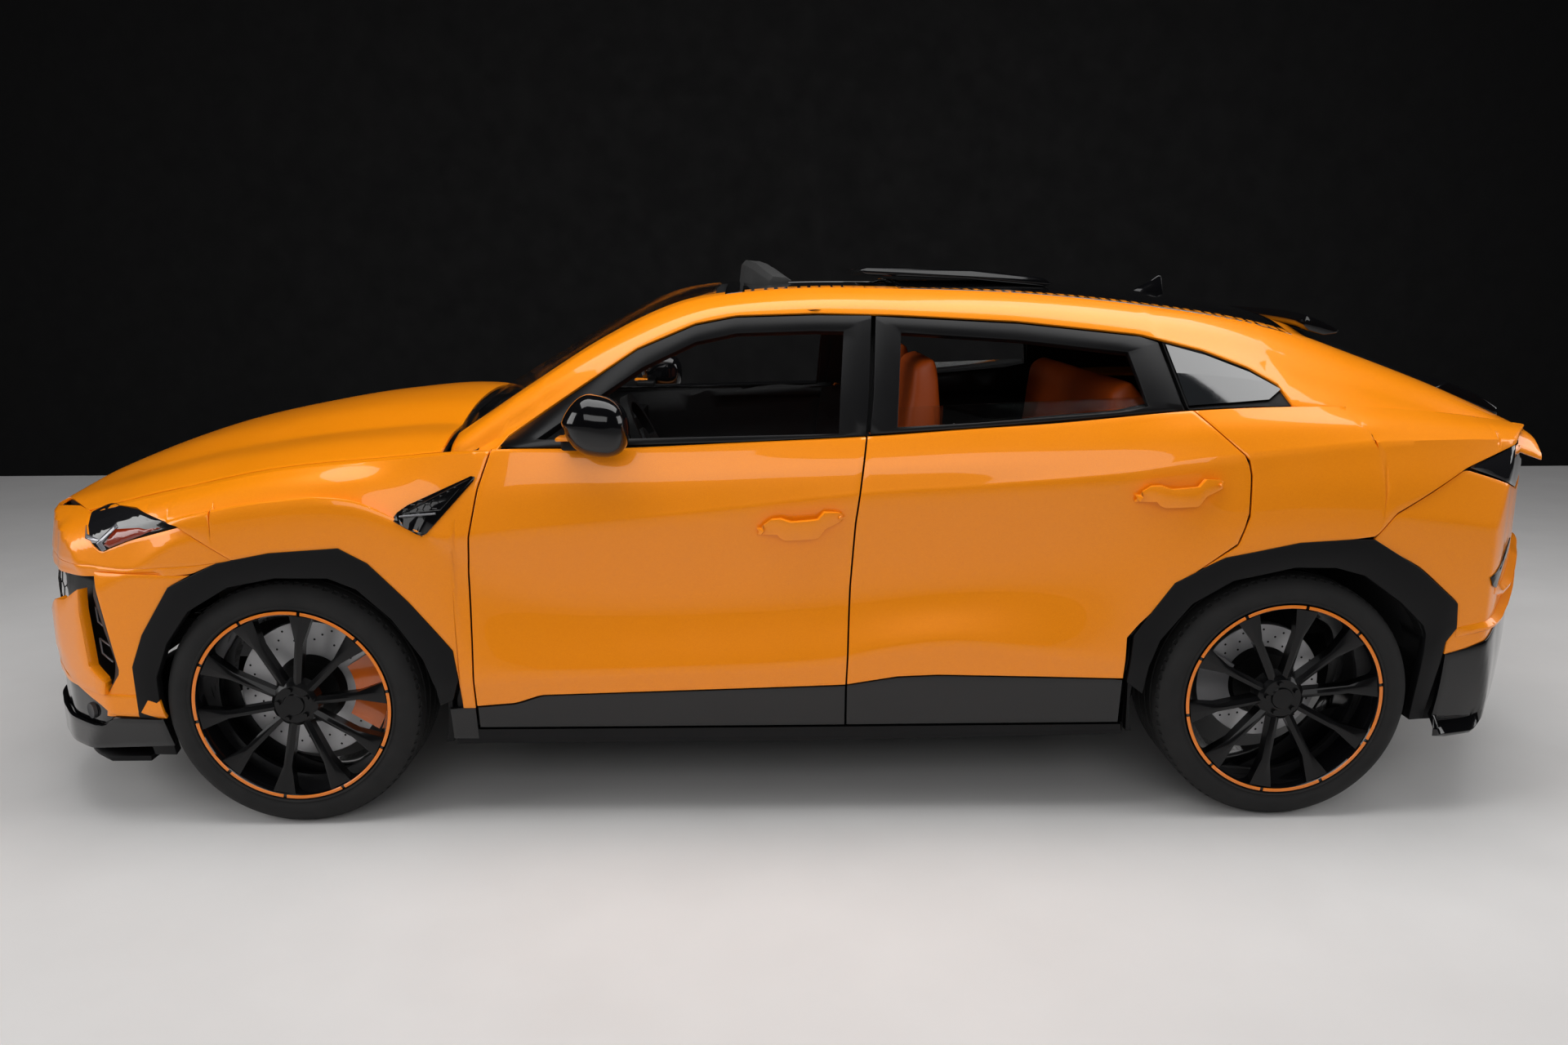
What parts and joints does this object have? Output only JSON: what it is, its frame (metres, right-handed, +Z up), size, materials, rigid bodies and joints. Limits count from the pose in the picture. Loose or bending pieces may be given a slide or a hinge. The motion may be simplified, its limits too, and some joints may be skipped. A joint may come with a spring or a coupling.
{
  "type": "sport utility vehicle",
  "caption": "Coupe-backed five-seat sport utility vehicle with opening doors, bonnet and tailgate, steering front wheels and free-rolling wheels.",
  "frame": {"origin": "on the ground below the centre of the overall box", "axes": "+Z up, -X towards the nose, -Y towards the car's left side"},
  "size_m": [5.101, 2.176, 1.7039],
  "materials": {
    "orange_paint": "orange pearl lacquer",
    "black_gloss": "gloss black",
    "black_matte": "fine grained black plastic",
    "clear_glass": "tinted glass",
    "dark_glass": "dark privacy glass",
    "lamp": "smoked lamp cover",
    "tyre_rubber": "black rubber",
    "rim_metal": "black lacquered alloy",
    "hub_metal": "bare dark metal",
    "engine_metal": "cast alloy",
    "orange_leather": "orange leather",
    "black_leather": "black leather",
    "exhaust_metal": "dark coated steel",
    "roof_paint": "gloss black lacquer"
  },
  "bodies": {
    "body": {"bodyshell": "orange_paint", "cabin_frame": "orange_paint", "roof_panel": "roof_paint", "windscreen": "clear_glass", "quarter_glass": "dark_glass", "front_fenders": "orange_paint", "front_bumper": "orange_paint", "grilles": "black_matte", "front_splitter": "black_gloss", "headlamps": "lamp", "side_skirts": "black_gloss", "arch_trims": "black_gloss", "rear_bumper": "orange_paint", "tail_lamps": "lamp", "exhaust": "exhaust_metal", "sunroof_panel": "dark_glass", "wind_deflector": "black_matte", "aerial": "black_gloss", "dashboard": "black_leather", "front_seats": "orange_leather", "rear_bench": "orange_leather", "engine": "engine_metal", "front_subframe": "hub_metal", "rear_axle": "hub_metal"},
    "bonnet": {"bonnet": "orange_paint"},
    "tailgate": {"tailgate": "orange_paint", "tailgate_glass": "dark_glass", "spoilers": "black_gloss"},
    "left_front_door": {"left_front_door": "orange_paint", "left_mirror": "black_gloss"},
    "right_front_door": {"right_front_door": "orange_paint", "right_mirror": "black_gloss"},
    "left_rear_door": {"left_rear_door": "orange_paint", "left_rear_glass": "clear_glass"},
    "right_rear_door": {"right_rear_door": "orange_paint", "right_rear_glass": "clear_glass"},
    "left_knuckle": {"left_knuckle": "hub_metal"},
    "right_knuckle": {"right_knuckle": "hub_metal"},
    "steering_wheel": {"steering_wheel": "black_leather"},
    "left_front_wheel": {"left_front_rim": "rim_metal", "left_front_tyre": "tyre_rubber"},
    "right_front_wheel": {"right_front_rim": "rim_metal", "right_front_tyre": "tyre_rubber"},
    "left_rear_wheel": {"left_rear_rim": "rim_metal", "left_rear_tyre": "tyre_rubber"},
    "right_rear_wheel": {"right_rear_rim": "rim_metal", "right_rear_tyre": "tyre_rubber"}
  },
  "joints": [
    {"name": "left_front_door_hinge", "type": "hinge", "parent": "body", "child": "left_front_door", "pos_m": [-1.0045, -0.99, 0.6], "axis": [0, 0.0785, 0.9969], "range_deg": [-65, 0]},
    {"name": "right_front_door_hinge", "type": "hinge", "parent": "body", "child": "right_front_door", "pos_m": [-1.0045, 0.99, 0.6], "axis": [0, -0.0785, 0.9969], "range_deg": [0, 65]},
    {"name": "left_rear_door_hinge", "type": "hinge", "parent": "body", "child": "left_rear_door", "pos_m": [0.1225, -0.99, 0.6], "axis": [0, 0.0785, 0.9969], "range_deg": [-65, 0]},
    {"name": "right_rear_door_hinge", "type": "hinge", "parent": "body", "child": "right_rear_door", "pos_m": [0.1225, 0.99, 0.6], "axis": [0, -0.0785, 0.9969], "range_deg": [0, 65]},
    {"name": "bonnet_hinge", "type": "hinge", "parent": "body", "child": "bonnet", "pos_m": [-1.095, 0, 1.27], "axis": [0, 1, 0], "range_deg": [0, 50]},
    {"name": "tailgate_hinge", "type": "hinge", "parent": "body", "child": "tailgate", "pos_m": [1.558, 0, 1.534], "axis": [0, 1, 0], "range_deg": [-70, 0]},
    {"name": "left_steer", "type": "hinge", "parent": "body", "child": "left_knuckle", "pos_m": [-1.556, -0.79, 0.386], "axis": [0, 0, 1], "range_deg": [-30, 30]},
    {"name": "right_steer", "type": "hinge", "parent": "body", "child": "right_knuckle", "pos_m": [-1.556, 0.79, 0.386], "axis": [0, 0, 1], "range_deg": [-30, 30]},
    {"name": "steering_wheel_turn", "type": "hinge", "parent": "body", "child": "steering_wheel", "pos_m": [-0.52, -0.38, 1.09], "axis": [0.9061, 0, 0.4231], "range_deg": [-450, 450]},
    {"name": "left_front_spin", "type": "hinge", "parent": "left_knuckle", "child": "left_front_wheel", "pos_m": [-1.556, -0.8475, 0.386], "axis": [0, 1, 0], "continuous": true},
    {"name": "right_front_spin", "type": "hinge", "parent": "right_knuckle", "child": "right_front_wheel", "pos_m": [-1.556, 0.8475, 0.386], "axis": [0, 1, 0], "continuous": true},
    {"name": "left_rear_spin", "type": "hinge", "parent": "body", "child": "left_rear_wheel", "pos_m": [1.447, -0.84, 0.385], "axis": [0, 1, 0], "continuous": true},
    {"name": "right_rear_spin", "type": "hinge", "parent": "body", "child": "right_rear_wheel", "pos_m": [1.447, 0.84, 0.385], "axis": [0, 1, 0], "continuous": true}
  ],
  "couplings": [
    {"joint": "right_steer", "follows": "left_steer", "ratio": 1},
    {"joint": "steering_wheel_turn", "follows": "left_steer", "ratio": 15}
  ]
}
